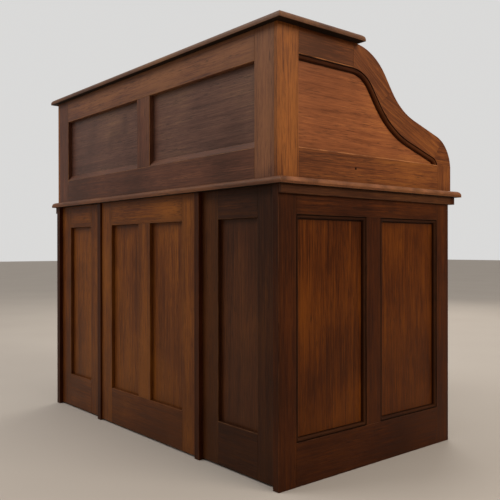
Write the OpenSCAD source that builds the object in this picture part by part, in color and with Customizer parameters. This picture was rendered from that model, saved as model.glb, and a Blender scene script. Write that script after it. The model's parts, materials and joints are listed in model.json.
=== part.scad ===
// Roll top desk with an S-shaped tambour, two drawer pedestals and a framed and panelled back.
// Inside the modules, X runs across the desk from its middle, Y runs from the back of the
// pedestals towards the front, and Z runs up from the floor. on_floor() turns that to the
// part's own frame: origin at the middle of the floor area, front towards -Y.

/* [Overall size] */
// Width across the two pedestals
base_w = 1270; // [1050:2:1530]
// Depth of the pedestals, from back to front
base_d = 712; // [590:2:860]
// Height of the writing surface above the floor
desk_h = 771; // [640:1:930]

/* [Boards laid flat] */
// Thickness of the writing board
desk_top_t = 18; // [14:1:24]
// Thickness of the board over the gallery
roof_t = 18; // [14:1:24]
// How far both boards stand out past the pedestal sides
side_overhang = 20; // [14:1:30]
// How far the writing board stands out behind the pedestals
desk_top_back = 12; // [4:1:14]
// How far the roof board stands out behind the pedestals
roof_back = 15; // [15:1:24]
// How far the writing board stands out in front of the pedestals
desk_top_front = 43; // [30:1:60]
// How far the roof board reaches past the level start of the S curve
roof_front = 19; // [10:1:40]
// Run of the rounded upper edge on the writing board
desk_edge_run = 12; // [6:1:20]
// Run of the rounded upper edge on the roof board
roof_edge_run = 13; // [6:1:16]

/* [Pedestals] */
// Width of each pedestal
pedestal_w = 354; // [290:2:430]
// Thickness of the pedestal sides
side_t = 22; // [18:1:26]
// Width of the stiles and the muntin in a pedestal side
side_stile_w = 60; // [50:1:72]
// Depth of the rail at the top of a pedestal side
side_top_rail = 73; // [60:1:88]
// Depth of the rail at the bottom of a pedestal side
side_bottom_rail = 110; // [90:1:132]
// Thickness of every fielded or flat panel
panel_t = 8; // [6:1:9]
// Setback of the panels behind the face of a pedestal side
side_recess = 10; // [6:1:12]
// Thickness of the back frames
back_frame_t = 20; // [18:1:24]
// Setback of the panels behind the face of a back frame
back_recess = 11; // [8:1:11]
// Setback of the pedestal back frames
pedestal_back_setback = 13; // [8:1:18]
// Setback of the middle back frame
modesty_setback = 6; // [2:1:12]
// Width of the stiles in a pedestal back frame
back_stile_w = 72; // [60:1:86]
// Width of the stiles and the muntin in the middle back frame
modesty_stile_w = 69; // [58:1:82]
// Depth of the rails at the top of the back frames
back_top_rail = 79; // [66:1:94]
// Depth of the rails at the bottom of the back frames
back_bottom_rail = 117; // [98:1:140]
// Gap between the back frames and the floor
back_floor_gap = 5; // [3:1:8]

/* [Pedestal drawers] */
// Height of the opening for each upper drawer
upper_drawer_h = 150; // [125:1:180]
// Height of the opening for each middle drawer
middle_drawer_h = 180; // [150:1:216]
// Thickness of the rails and runners under each drawer
rail_t = 20; // [16:1:24]
// Depth of the front rails, from front to back
rail_d = 60; // [50:1:72]
// Width of the runners
runner_w = 26; // [22:1:30]
// Height of the rail along the floor at the front
plinth_h = 70; // [58:1:84]
// Height of the opening for the pull-out writing slide
slide_opening_h = 26; // [24:1:31]
// How much of the rail over the slide shows under the front rail
slide_rail_shows = 4; // [2:1:10]
// Height of the rail across the front, under the writing board
front_rail_h = 23; // [20:1:27]
// Thickness of the rail across the front
front_rail_t = 21; // [17:1:25]
// How far the side battens stand out under the writing board
batten_proud = 9; // [6:1:11]
// Thickness of a drawer front
drawer_front_t = 20; // [17:1:24]
// Thickness of the drawer sides and back
drawer_side_t = 12; // [10:1:14]
// Thickness of a drawer bottom
drawer_bottom_t = 6; // [5:1:8]
// Height of a drawer bottom above the lower edge of the sides
drawer_bottom_raise = 5; // [3:1:8]
// Space left behind a pedestal drawer
drawer_back_room = 89; // [70:1:110]
// Thickness of the pull-out writing slides
slide_t = 20; // [17:1:22]
// Space left behind a pull-out writing slide
slide_back_room = 209; // [170:1:250]
// Depth of the lipping along a slide's front edge
slide_lip = 40; // [30:1:50]
// Diameter of the turned wooden knobs
knob_d = 34; // [28:1:40]
// How far the knobs stand out
knob_out = 30; // [25:1:34]

/* [Kneehole drawer] */
// Height of the opening for the kneehole drawer
knee_drawer_h = 76; // [63:1:91]
// Space left behind the kneehole drawer
knee_back_room = 256; // [210:1:310]

/* [Gallery] */
// Setback of the gallery from each pedestal face, at the sides
gallery_inset = 7; // [4:1:10]
// Setback of the gallery's back
gallery_back_setback = 3; // [1:1:6]
// Thickness of the gallery's sides
gallery_side_t = 22; // [20:1:26]
// Width of side edge that shows beside the gallery's back frame
gallery_edge_w = 12; // [10:1:14]
// How far the front of the gallery stands behind the front of the writing board
gallery_front_setback = 20; // [14:1:26]
// Width of the gallery's rear stiles, seen from the side
gallery_stile_w = 75; // [62:1:90]
// Width of the curved rail
curve_rail_w = 68; // [56:1:82]
// Depth of the gallery's bottom rails
gallery_bottom_rail = 79; // [66:1:94]
// Depth of the top rail in the gallery's back
gallery_top_rail = 80; // [66:1:96]
// Setback of the panels in the gallery's sides
gallery_side_recess = 11; // [8:1:12]
// Setback of the panels in the gallery's back
gallery_back_recess = 15; // [11:1:15]
// Thickness of the gallery's back frame
gallery_back_t = 24; // [22:1:28]
// Height of the sloping fillets along the bottom rail of the gallery's back
fillet_h = 18; // [10:1:24]

/* [S curve] */
// Height of the upright front edge, from the writing surface to the nose
nose_start = 69; // [57:1:83]
// Radius of the nose, at the front
nose_r = 101; // [86:1:120]
// Slope of the shoulder behind the nose, in degrees
shoulder_slope = 17; // [14:1:20]
// Length of the straight shoulder
shoulder_len = 122; // [100:1:146]
// Radius of the hollow
hollow_r = 198; // [165:1:237]
// Slope of the straight above the hollow, in degrees
steep_slope = 53; // [46:1:60]
// Length of the straight above the hollow
steep_len = 52; // [42:1:62]
// Radius of the crown that runs level under the roof board
crown_r = 167; // [138:1:202]

/* [Tambour] */
// Number of slats
slat_count = 19; // [15:1:19]
// Distance from the S curve to the slats' inner faces
groove_inset = 26; // [23:1:30]
// Thickness of a slat
slat_t = 9; // [7:1:10]
// Gap between neighbouring slats
slat_gap = 3; // [2.5:0.1:4]
// Thickness of the canvas behind the slats
canvas_t = 0.8; // [0.6:0.1:1]
// Height of the lift rail
lift_rail_h = 44; // [36:1:52]
// Thickness of the lift rail
lift_rail_t = 18; // [15:1:20]
// Width of the groove in the gallery's sides
groove_w = 14; // [12:1:16]
// Depth of the groove in the gallery's sides
groove_depth = 10; // [8:1:11]
// Radius of the groove's turn at the back
turn_r = 60; // [50:1:72]
// Distance from the back of the gallery to the groove's upright run
back_run = 36; // [32:1:40]
// How far the closed tambour reaches past the level start of the S curve
tambour_lap = 4; // [2:1:12]
// Space under the foot of the groove at the back
track_foot = 8; // [4:1:16]
// How far the lift rail reaches in behind the line of the canvas
lift_rail_inside = 3; // [1:0.5:4]
// Diameter of the two brass pulls
pull_d = 20; // [16:1:24]
// How far the brass pulls stand out
pull_out = 12; // [10:1:14]
// Diameter of the lock's escutcheon
escutcheon_d = 24; // [20:1:28]
// Thickness of the lock's escutcheon
escutcheon_t = 1.5; // [1:0.5:2]
// Diameter of the keyhole
keyhole_d = 5; // [4:0.5:6]
// How far the canvas stops short of the slats' ends
canvas_edge = 20; // [15:1:25]

/* [Pigeonhole case] */
// Distance from the back of the pedestals to the back of the case
case_back = 64; // [60:1:76]
// Space between the case and the canvas that passes over it
case_headroom = 53; // [44:1:110]
// Space between the case and each side of the gallery
case_side_gap = 2; // [1:0.5:3]
// How far the case reaches past the level start of the S curve
case_lap = 4; // [0:1:10]
// Thickness of the case's outer boards
case_t = 12; // [10:1:14]
// Thickness of the dividers
divider_t = 8; // [6:1:10]
// Height of the lower row
lower_row_h = 92; // [76:1:110]
// Number of columns, which is even
case_columns = 6; // [4:2:8]
// Thickness of a small drawer's front
small_front_t = 12; // [10:1:14]
// Thickness of a small drawer's sides and back
small_side_t = 7; // [6:1:8]
// Thickness of a small drawer's bottom
small_bottom_t = 4; // [3:1:5]
// Diameter of the knobs on the small drawers
small_knob_d = 20; // [16:1:24]
// How far those knobs stand out
small_knob_out = 16; // [12:1:18]
// Setback of the small drawers in the case
small_setback = 2; // [1:1:4]
// Space left behind a small drawer
small_back_room = 4; // [2:1:8]

/* [Fits] */
// Space left between two boards at a glued joint
joint_gap = 0.2; // [0.1:0.05:0.4]
// Space around a drawer or a slide
slide_gap = 1.2; // [1:0.1:2]
// Space around a small drawer
small_gap = 1; // [0.6:0.1:1.5]
// Space under a drawer or a slide, where it runs on wood
run_gap = 0.3; // [0.2:0.05:0.5]
// Space between the ends of the slats and the sides
slat_end_gap = 1.5; // [1:0.5:3]

/* [Hidden] */
$fn = 48;
arc_step = 4;
wood = "#6b3a20";
light_wood = "#8a5230";
inner_wood = "#b98a58";
brass = "#b08d4a";
cloth = "#b9a98a";

// Heights
desk_under_z = desk_h - desk_top_t;
nose_z = desk_h + nose_start;
roof_under_z = nose_z + nose_r * cos(shoulder_slope) + shoulder_len * sin(shoulder_slope)
    + hollow_r * (cos(shoulder_slope) - cos(steep_slope)) + steep_len * sin(steep_slope)
    + crown_r * (1 - cos(steep_slope));
roof_z = roof_under_z + roof_t;
// The front rail covers the top of the pedestal, so the slide's opening starts below it
slide_top_z = desk_under_z - front_rail_h - slide_rail_shows;
slide_floor_z = slide_top_z - slide_opening_h;
upper_floor_z = slide_floor_z - rail_t - upper_drawer_h;
middle_floor_z = upper_floor_z - rail_t - middle_drawer_h;
drawer_floors = [plinth_h, middle_floor_z, upper_floor_z];
drawer_tops = [middle_floor_z - rail_t, upper_floor_z - rail_t, slide_floor_z - rail_t];
knee_floor_z = slide_top_z - knee_drawer_h;

// Widths, from the middle
half_base = base_w / 2;
half_top = half_base + side_overhang;
pedestal_in = half_base - pedestal_w;
bay_in = pedestal_in + side_t;
bay_out = half_base - side_t;
half_gallery = half_base - gallery_inset;
half_room = half_gallery - gallery_side_t;
half_back = half_gallery - gallery_edge_w;
half_slat = half_room - slat_end_gap;

// Depths, from the back of the pedestals
desk_front = base_d + desk_top_front;
gallery_front = desk_front - gallery_front_setback;
crown_y = gallery_front - nose_r * (1 - sin(shoulder_slope)) - shoulder_len * cos(shoulder_slope)
    - hollow_r * (sin(steep_slope) - sin(shoulder_slope)) - steep_len * cos(steep_slope)
    - crown_r * sin(steep_slope);
roof_front_y = crown_y + roof_front;
pedestal_back_y = pedestal_back_setback + back_frame_t;
case_front = crown_y + case_lap;
drawer_d = base_d - pedestal_back_y - drawer_back_room;
slide_d = base_d - pedestal_back_y - slide_back_room;
knee_drawer_d = base_d - modesty_setback - back_frame_t - knee_back_room;
total_back = roof_back;
total_d = desk_front + total_back;

// One length of the tambour's path: how long it is, and how many degrees it turns a millimetre
// (above 0 towards the upright). The first heading is 90, straight up; 0 is level, to the back.
function turn_len(r, degrees) = r * degrees * PI / 180;
function bend(r) = 180 / (PI * r);
function s_curve(inset, rise) = [
    [rise, 0],
    [turn_len(nose_r - inset, 90 - shoulder_slope), -bend(nose_r - inset)],
    [shoulder_len, 0],
    [turn_len(hollow_r + inset, steep_slope - shoulder_slope), bend(hollow_r + inset)],
    [steep_len, 0],
    [turn_len(crown_r - inset, steep_slope), -bend(crown_r - inset)]
];
function path_len(runs, i = 0) = i < len(runs) ? runs[i][0] + path_len(runs, i + 1) : 0;
// A place on the path is [y, z, heading].
function advance(p, length, turn) = turn == 0
    ? [p[0] - length * cos(p[2]), p[1] + length * sin(p[2]), p[2]]
    : let (h = p[2] + turn * length, r = 180 / (PI * turn))
        [p[0] - r * (sin(h) - sin(p[2])), p[1] - r * (cos(h) - cos(p[2])), h];
function place_at(runs, p, s, i = 0) =
    i >= len(runs) || s <= runs[i][0] || i == len(runs) - 1
        ? advance(p, s, runs[min(i, len(runs) - 1)][1])
        : place_at(runs, advance(p, runs[i][0], runs[i][1]), s - runs[i][0], i + 1);
// Points along the runs, with one every arc_step degrees on the bends.
function trace(runs, p, i = 0) = i >= len(runs) ? [[p[0], p[1]]] :
    let (steps = max(1, ceil(abs(runs[i][1]) * runs[i][0] / arc_step)), part = runs[i][0] / steps)
    concat([for (k = [0 : steps - 1]) let (q = advance(p, part * k, runs[i][1])) [q[0], q[1]]],
        trace(runs, advance(p, runs[i][0], runs[i][1]), i + 1));

// The curve of the gallery's edge, moved inwards, from the writing surface to the crown
function curve_start(inset) = [gallery_front - inset, desk_h, 90];
function curve_points(inset) = trace(s_curve(inset, nose_start), curve_start(inset));

// The tambour's path, along the canvas: the S curve, level under the roof, then down at the back
level_run = crown_y - (back_run + turn_r);
down_run = roof_under_z - groove_inset - turn_r - desk_h - track_foot;
tambour_runs = concat(s_curve(groove_inset, nose_start),
    [[level_run, 0], [turn_len(turn_r, 90), -bend(turn_r)], [down_run, 0]]);
tambour_start = curve_start(groove_inset);
closed_len = path_len(s_curve(groove_inset, nose_start)) + tambour_lap;
slat_pitch = (closed_len - lift_rail_h) / slat_count;
function on_track(s) = place_at(tambour_runs, tambour_start, s);

SLATS = [for (i = [1 : slat_count]) str("slat_", i < 10 ? "0" : "", i)];

// Turns the modules' own frame to the part's frame.
module on_floor() {
    translate([0, total_d / 2 - total_back, 0]) mirror([0, 1, 0]) children();
}

// The left half is drawn by mirroring the right half.
module on_side(left) {
    if (left) mirror([1, 0, 0]) children();
    else children();
}

// A straight board between two corners, each given as [from, to] along X, Y and Z.
module board(x, y, z) {
    translate([x[0], y[0], z[0]]) cube([x[1] - x[0], y[1] - y[0], z[1] - z[0]]);
}

// A flat board with its upper edge rounded over on all four sides.
module moulded_board(x, y, z, run) {
    drop = min(run, (z[1] - z[0]) * 0.75);
    module profile(a) {
        polygon(concat(
            [[a[0], z[0]]],
            [for (t = [0 : 15 : 90]) [a[0] + run * (1 - cos(t)), z[1] - drop + drop * sin(t)]],
            [for (t = [90 : -15 : 0]) [a[1] - run * (1 - cos(t)), z[1] - drop + drop * sin(t)]],
            [[a[1], z[0]]]));
    }
    intersection() {
        translate([0, y[1], 0]) rotate([90, 0, 0]) linear_extrude(y[1] - y[0]) profile(x);
        translate([x[0], 0, 0]) rotate([90, 0, 90]) linear_extrude(x[1] - x[0]) profile(y);
    }
}

// A frame of stiles, rails and muntins standing in the X-Z plane. The face is at y[0].
module back_frame(x, y, z, stile, top_rail, bottom_rail, muntin) {
    bay = (x[1] - x[0] - 2 * stile - muntin) / 2;
    board([x[0], x[0] + stile], y, z);
    board([x[1] - stile, x[1]], y, z);
    inner = [x[0] + stile + joint_gap, x[1] - stile - joint_gap];
    board(inner, y, [z[1] - top_rail, z[1]]);
    board(inner, y, [z[0], z[0] + bottom_rail]);
    if (muntin > 0) {
        board([x[0] + stile + bay, x[1] - stile - bay], y,
            [z[0] + bottom_rail + joint_gap, z[1] - top_rail - joint_gap]);
    }
}

// The panels that fill such a frame.
module back_panels(x, y, z, stile, top_rail, bottom_rail, muntin, recess) {
    bay = (x[1] - x[0] - 2 * stile - muntin) / 2;
    starts = muntin > 0 ? [x[0] + stile, x[1] - stile - bay] : [x[0] + stile];
    width = muntin > 0 ? bay : 2 * bay;
    for (s = starts) {
        board([s + joint_gap, s + width - joint_gap], [y[0] + recess, y[0] + recess + panel_t],
            [z[0] + bottom_rail + joint_gap, z[1] - top_rail - joint_gap]);
    }
}

// A frame for a pedestal side, standing in the Y-Z plane.
module side_frame(x) {
    bay = (base_d - 3 * side_stile_w) / 2;
    board(x, [0, side_stile_w], [0, desk_under_z]);
    board(x, [base_d - side_stile_w, base_d], [0, desk_under_z]);
    inner = [side_stile_w + joint_gap, base_d - side_stile_w - joint_gap];
    board(x, inner, [desk_under_z - side_top_rail, desk_under_z]);
    board(x, inner, [0, side_bottom_rail]);
    board(x, [side_stile_w + bay, 2 * side_stile_w + bay],
        [side_bottom_rail + joint_gap, desk_under_z - side_top_rail - joint_gap]);
}

module side_panels(x) {
    bay = (base_d - 3 * side_stile_w) / 2;
    for (y = [side_stile_w, 2 * side_stile_w + bay]) {
        board(x, [y + joint_gap, y + bay - joint_gap],
            [side_bottom_rail + joint_gap, desk_under_z - side_top_rail - joint_gap]);
    }
}

// A turned knob: a stem, a waist and a mushroom head, pointing to the front from y.
module knob(x, y, z, d, out) {
    translate([x, y, z]) rotate([-90, 0, 0]) rotate_extrude()
        polygon([[0, 0], [d * 0.3, 0], [d * 0.3, out * 0.1], [d * 0.19, out * 0.25],
            [d * 0.19, out * 0.45], [d * 0.4, out * 0.6], [d * 0.5, out * 0.75],
            [d * 0.46, out * 0.9], [d * 0.3, out], [0, out]]);
}

// An open drawer: front, two sides, back and bottom, each board on its own.
module drawer(x, z, y_front, depth, front_t, wall, bottom, knobs, d, out) {
    y_in = y_front - front_t;
    y_back = y_front - depth;
    board(x, [y_in, y_front], z);
    board([x[0], x[0] + wall], [y_back, y_in - joint_gap], z);
    board([x[1] - wall, x[1]], [y_back, y_in - joint_gap], z);
    inner = [x[0] + wall + joint_gap, x[1] - wall - joint_gap];
    bottom_z = [z[0] + drawer_bottom_raise, z[0] + drawer_bottom_raise + bottom];
    board(inner, [y_back, y_back + wall], z);
    board(inner, [y_back + wall + joint_gap, y_in - joint_gap], bottom_z);
    for (k = knobs) knob(k, y_front + joint_gap, (z[0] + z[1]) / 2, d, out);
}

module desk_top() {
    color(wood) on_floor() moulded_board([-half_top, half_top], [-desk_top_back, desk_front],
        [desk_under_z, desk_h], desk_edge_run);
}

// Strips that stand out under the writing board, one on each side
module side_battens() {
    color(wood) on_floor() for (left = [false, true]) on_side(left)
        board([half_base + joint_gap, half_base + batten_proud], [0, base_d],
            [desk_under_z - front_rail_h, desk_under_z - joint_gap]);
}

// The rail across the whole front, under the writing board
module front_rail() {
    color(wood) on_floor() board([-half_base - batten_proud, half_base + batten_proud],
        [base_d + joint_gap, base_d + front_rail_t],
        [desk_under_z - front_rail_h, desk_under_z - joint_gap]);
}

module outer_frame(left) {
    color(wood) on_floor() on_side(left) side_frame([bay_out, half_base]);
}

module outer_panels(left) {
    color(light_wood) on_floor() on_side(left)
        side_panels([half_base - side_recess - panel_t, half_base - side_recess]);
}

// The side next to the kneehole, with its own two panels
module inner_side(left) {
    color(wood) on_floor() on_side(left) {
        side_frame([pedestal_in, bay_in]);
        side_panels([pedestal_in + side_recess, pedestal_in + side_recess + panel_t]);
    }
}

pedestal_back_x = [bay_in + joint_gap, bay_out - joint_gap];
back_z = [back_floor_gap, desk_under_z - joint_gap];

module pedestal_back_frame(left) {
    color(wood) on_floor() on_side(left) back_frame(pedestal_back_x,
        [pedestal_back_setback, pedestal_back_y], back_z, back_stile_w, back_top_rail,
        back_bottom_rail, 0);
}

module pedestal_back_panel(left) {
    color(light_wood) on_floor() on_side(left) back_panels(pedestal_back_x,
        [pedestal_back_setback, pedestal_back_y], back_z, back_stile_w, back_top_rail,
        back_bottom_rail, 0, back_recess);
}

// A flat frame of two rails and two runners that carries one drawer, with its top at z
module dust_frame(x, z, front_d) {
    runner_y = [pedestal_back_y + rail_d + joint_gap, base_d - front_d - joint_gap];
    board(x, [base_d - front_d, base_d], [z - rail_t, z]);
    board(x, [pedestal_back_y + joint_gap, pedestal_back_y + rail_d], [z - rail_t, z]);
    board([x[0], x[0] + runner_w], runner_y, [z - rail_t, z]);
    board([x[1] - runner_w, x[1]], runner_y, [z - rail_t, z]);
}

// The dust frames, the plinth rail and the rail over the slide
module drawer_rails(left) {
    x = [bay_in + joint_gap, bay_out - joint_gap];
    color(inner_wood) on_floor() on_side(left) {
        for (z = [middle_floor_z, upper_floor_z, slide_floor_z]) dust_frame(x, z, rail_d);
        dust_frame(x, plinth_h, rail_d);
        board(x, [base_d - side_t, base_d], [0, plinth_h - rail_t - joint_gap]);
        board(x, [base_d - rail_d, base_d], [slide_top_z, desk_under_z - joint_gap]);
    }
}

// A pedestal drawer, counted from the bottom
module pedestal_drawer(left, i) {
    color(light_wood) on_floor() on_side(left) drawer(
        [bay_in + slide_gap, bay_out - slide_gap],
        [drawer_floors[i] + run_gap, drawer_tops[i] - slide_gap], base_d, drawer_d, drawer_front_t,
        drawer_side_t, drawer_bottom_t,
        [(bay_in + bay_out) / 2 - pedestal_w / 5, (bay_in + bay_out) / 2 + pedestal_w / 5],
        knob_d, knob_out);
}

// A pull-out board with a lipped front and one small knob
module writing_slide(left) {
    x = [bay_in + slide_gap, bay_out - slide_gap];
    z = [slide_floor_z + run_gap, slide_floor_z + run_gap + slide_t];
    color(light_wood) on_floor() on_side(left) {
        board(x, [base_d - slide_d, base_d - slide_lip - joint_gap], z);
        board(x, [base_d - slide_lip, base_d], z);
        knob((x[0] + x[1]) / 2, base_d + joint_gap, (z[0] + z[1]) / 2, slide_t * 0.9, knob_out * 0.7);
    }
}

modesty_x = [-pedestal_in + joint_gap, pedestal_in - joint_gap];
modesty_y = [modesty_setback, modesty_setback + back_frame_t];

module modesty_frame() {
    color(wood) on_floor() back_frame(modesty_x, modesty_y, back_z, modesty_stile_w,
        back_top_rail, back_bottom_rail, modesty_stile_w);
}

module modesty_panels() {
    color(light_wood) on_floor() back_panels(modesty_x, modesty_y, back_z, modesty_stile_w,
        back_top_rail, back_bottom_rail, modesty_stile_w, back_recess);
}

// The rail and the two runners that carry the kneehole drawer
module kneehole_drawer_rails() {
    x = pedestal_in - joint_gap;
    runner_y = [base_d - knee_drawer_d, base_d - side_t - joint_gap];
    z = [knee_floor_z - rail_t, knee_floor_z];
    color(inner_wood) on_floor() {
        board([-x, x], [base_d - side_t, base_d], z);
        board([-x, -x + runner_w], runner_y, z);
        board([x - runner_w, x], runner_y, z);
    }
}

module kneehole_drawer() {
    x = pedestal_in - slide_gap;
    color(light_wood) on_floor() drawer([-x, x], [knee_floor_z + run_gap, slide_top_z - slide_gap],
        base_d, knee_drawer_d, drawer_front_t, drawer_side_t, drawer_bottom_t,
        [-pedestal_in / 2, pedestal_in / 2], knob_d, knob_out);
}

// The outline between two depths of inset from the S curve
module curve_band(outer, inner) {
    back = curve_points(inner);
    polygon(concat(curve_points(outer), [for (i = [len(back) - 1 : -1 : 0]) back[i]]));
}

// Everything under the S curve moved in by inset, from z_low up and from y_back to the front
module under_curve(inset, y_back, z_low) {
    intersection() {
        polygon(concat(curve_points(inset), [[y_back, roof_under_z - inset], [y_back, desk_h]]));
        translate([y_back, z_low]) square([gallery_front, roof_under_z]);
    }
}

// The tambour's groove: a band of the groove's width along its path
module groove_outline() {
    outer = groove_inset - slat_t / 2 - groove_w / 2;
    inner = outer + groove_w;
    r = turn_r + slat_t / 2 + groove_w / 2;
    open_end = 1;
    function side_of(inset, radius) = trace(
        concat(s_curve(inset, nose_start + open_end),
            [[level_run, 0], [turn_len(radius, 90), -bend(radius)], [down_run, 0]]),
        [gallery_front - inset, desk_h - open_end, 90]);
    band = side_of(inner, r - groove_w);
    polygon(concat(side_of(outer, r), [for (i = [len(band) - 1 : -1 : 0]) band[i]]));
}

// Stands a Y-Z outline up as a board between two X values.
module upright(x) {
    translate([x[0], 0, 0]) rotate([90, 0, 90]) linear_extrude(x[1] - x[0]) children();
}

gallery_low_z = desk_h + joint_gap;
gallery_rail_z = desk_h + gallery_bottom_rail;
gallery_back_edge = gallery_back_setback + gallery_back_t;
curve_rail_in = gallery_front - curve_rail_w;

// Wedges that cut the curved rail into boards, square across it at two places
module across_curve(from, to) {
    runs = s_curve(0, nose_start);
    a = place_at(runs, curve_start(0), from);
    b = place_at(runs, curve_start(0), to);
    reach = curve_rail_w * 1.5;
    function spot(p, k) = [p[0] - k * sin(p[2]), p[1] - k * cos(p[2])];
    polygon([spot(a, -reach), spot(a, reach), spot(b, reach), spot(b, -reach)]);
}

// The rear stile, the bottom rail, the front post and the curved rail in three boards
module gallery_frame(left) {
    x = [half_room, half_gallery];
    stile_y = [gallery_back_setback, gallery_stile_w];
    nose_end = nose_start + turn_len(nose_r, 90 - shoulder_slope) * 0.8;
    hollow_end = nose_start + turn_len(nose_r, 90 - shoulder_slope) + shoulder_len
        + turn_len(hollow_r, steep_slope - shoulder_slope);
    whole = path_len(s_curve(0, nose_start));
    cuts = [[0, nose_end], [nose_end + joint_gap, hollow_end], [hollow_end + joint_gap, whole]];
    color(wood) on_floor() on_side(left) difference() {
        union() {
            difference() {
                upright(x) translate([stile_y[0], gallery_low_z])
                    square([stile_y[1] - stile_y[0], roof_under_z - gallery_low_z - joint_gap]);
                board([half_room - 1, half_back + joint_gap], [0, gallery_back_edge + joint_gap],
                    [desk_h, roof_z]);
            }
            board(x, [stile_y[1] + joint_gap, curve_rail_in - joint_gap], [gallery_low_z, gallery_rail_z]);
            upright(x) intersection() {
                under_curve(0, curve_rail_in, gallery_low_z);
                translate([curve_rail_in, gallery_low_z])
                    square([curve_rail_w, gallery_bottom_rail - joint_gap]);
            }
            for (cut = cuts) {
                upright(x) intersection() {
                    curve_band(0.001, curve_rail_w);
                    across_curve(cut[0], cut[1]);
                    translate([stile_y[1] + joint_gap, gallery_rail_z + joint_gap])
                        square([gallery_front, roof_under_z - gallery_rail_z - 2 * joint_gap]);
                }
            }
            board(x, [stile_y[1] + joint_gap, crown_y - joint_gap],
                [roof_under_z - curve_rail_w, roof_under_z - joint_gap]);
        }
        upright([half_room - 1, half_room + groove_depth]) groove_outline();
    }
}

module gallery_panel(left) {
    gap = curve_rail_w + joint_gap;
    color(light_wood) on_floor() on_side(left)
        upright([half_gallery - gallery_side_recess - panel_t, half_gallery - gallery_side_recess])
            intersection() {
                under_curve(gap, gallery_stile_w + joint_gap, gallery_rail_z + joint_gap);
                square([curve_rail_in - joint_gap, roof_z]);
            }
}

gallery_back_x = [-half_back, half_back];
gallery_back_y = [gallery_back_setback, gallery_back_edge];
gallery_back_z = [gallery_low_z, roof_under_z - joint_gap];
gallery_back_stile = gallery_stile_w;

// The back frame, with a sloping fillet on the bottom rail in front of each panel
module gallery_back_frame() {
    bay = half_back - gallery_back_stile * 1.5 - joint_gap * 2;
    reach = gallery_back_recess - joint_gap;
    color(wood) on_floor() {
        back_frame(gallery_back_x, gallery_back_y, gallery_back_z, gallery_back_stile,
            gallery_top_rail, gallery_bottom_rail, gallery_back_stile);
        for (s = [-1, 1]) {
            x = s * (gallery_back_stile / 2 + joint_gap + bay / 2) - bay / 2;
            translate([x, gallery_back_setback, gallery_rail_z + 2 * joint_gap]) rotate([90, 0, 90])
                linear_extrude(bay) polygon([[0, 0], [reach, 0], [reach, fillet_h]]);
        }
    }
}

module gallery_back_panels() {
    color(light_wood) on_floor() back_panels(gallery_back_x, gallery_back_y, gallery_back_z,
        gallery_back_stile, gallery_top_rail, gallery_bottom_rail, gallery_back_stile,
        gallery_back_recess);
}

module roof_board() {
    color(wood) on_floor() moulded_board([-half_top, half_top], [-roof_back, roof_front_y],
        [roof_under_z, roof_z], roof_edge_run);
}

// The case of pigeonholes on the writing surface
case_x = half_room - case_side_gap;
case_z = [desk_h + joint_gap, roof_under_z - groove_inset - case_headroom];
column_w = (2 * case_x - 2 * case_t - (case_columns - 1) * divider_t) / case_columns;
shelf_z = desk_h + case_t + lower_row_h;
function column_x(i) = -case_x + case_t + i * (column_w + divider_t);

module pigeonhole_case() {
    y = [case_back, case_front];
    y_in = [case_back + divider_t + joint_gap, case_front];
    color(inner_wood) on_floor() {
        for (s = [-1, 1]) board([s < 0 ? -case_x : case_x - case_t, s < 0 ? case_t - case_x : case_x],
            y, case_z);
        inner = [-case_x + case_t + joint_gap, case_x - case_t - joint_gap];
        board(inner, y, [case_z[1] - case_t, case_z[1]]);
        board(inner, y, [case_z[0], case_z[0] + case_t]);
        board(inner, [y[0], y[0] + divider_t],
            [case_z[0] + case_t + joint_gap, case_z[1] - case_t - joint_gap]);
        board(inner, y_in, [shelf_z, shelf_z + divider_t]);
        for (i = [1 : case_columns - 1]) {
            x = [column_x(i) - divider_t, column_x(i)];
            board(x, y_in, [shelf_z + divider_t + joint_gap, case_z[1] - case_t - joint_gap]);
            if (i != case_columns / 2)
                board(x, y_in, [case_z[0] + case_t + joint_gap, shelf_z - joint_gap]);
        }
    }
}

// A small drawer in the second column from each end
module small_drawer(left) {
    x = column_x(case_columns - 2);
    y_front = case_front - small_setback;
    color(light_wood) on_floor() on_side(left) drawer(
        [x + small_gap, x + column_w - small_gap],
        [case_z[0] + case_t + run_gap, shelf_z - small_gap], y_front,
        y_front - case_back - divider_t - small_back_room, small_front_t, small_side_t,
        small_bottom_t, [x + column_w / 2], small_knob_d, small_knob_out);
}

// Stands a piece on the tambour's path: X stays, Y is out from the canvas, Z is up along the path.
module on_path(s) {
    p = on_track(s);
    on_floor() translate([0, p[0], p[1]]) rotate([90 - p[2], 0, 0]) children();
}

// The rail that the hand lifts, with its upper outer edge rounded over
module lift_rail() {
    face = lift_rail_t - lift_rail_inside;
    low = joint_gap - lift_rail_h / 2;
    high = lift_rail_h / 2 - slat_gap / 3;
    round_r = lift_rail_t / 3;
    color(wood) on_path(lift_rail_h / 2) translate([-half_slat, 0, 0]) rotate([90, 0, 90])
        linear_extrude(2 * half_slat) polygon(concat(
            [[-lift_rail_inside, low], [face, low]],
            [for (t = [0 : 15 : 90]) [face - round_r * (1 - cos(t)), high - round_r * (1 - sin(t))]],
            [[-lift_rail_inside, high]]));
}

// Two turned pulls and a lock's escutcheon on the lift rail
module lift_rail_fittings() {
    face = lift_rail_t - lift_rail_inside + joint_gap;
    color(brass) on_path(lift_rail_h / 2) {
        for (s = [-1, 1]) knob(s * half_slat * 0.45, face, 0, pull_d, pull_out);
        translate([0, face, 0]) rotate([-90, 0, 0]) difference() {
            cylinder(d = escutcheon_d, h = escutcheon_t);
            translate([0, 0, -escutcheon_t]) cylinder(d = keyhole_d, h = 3 * escutcheon_t);
        }
    }
}

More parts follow.
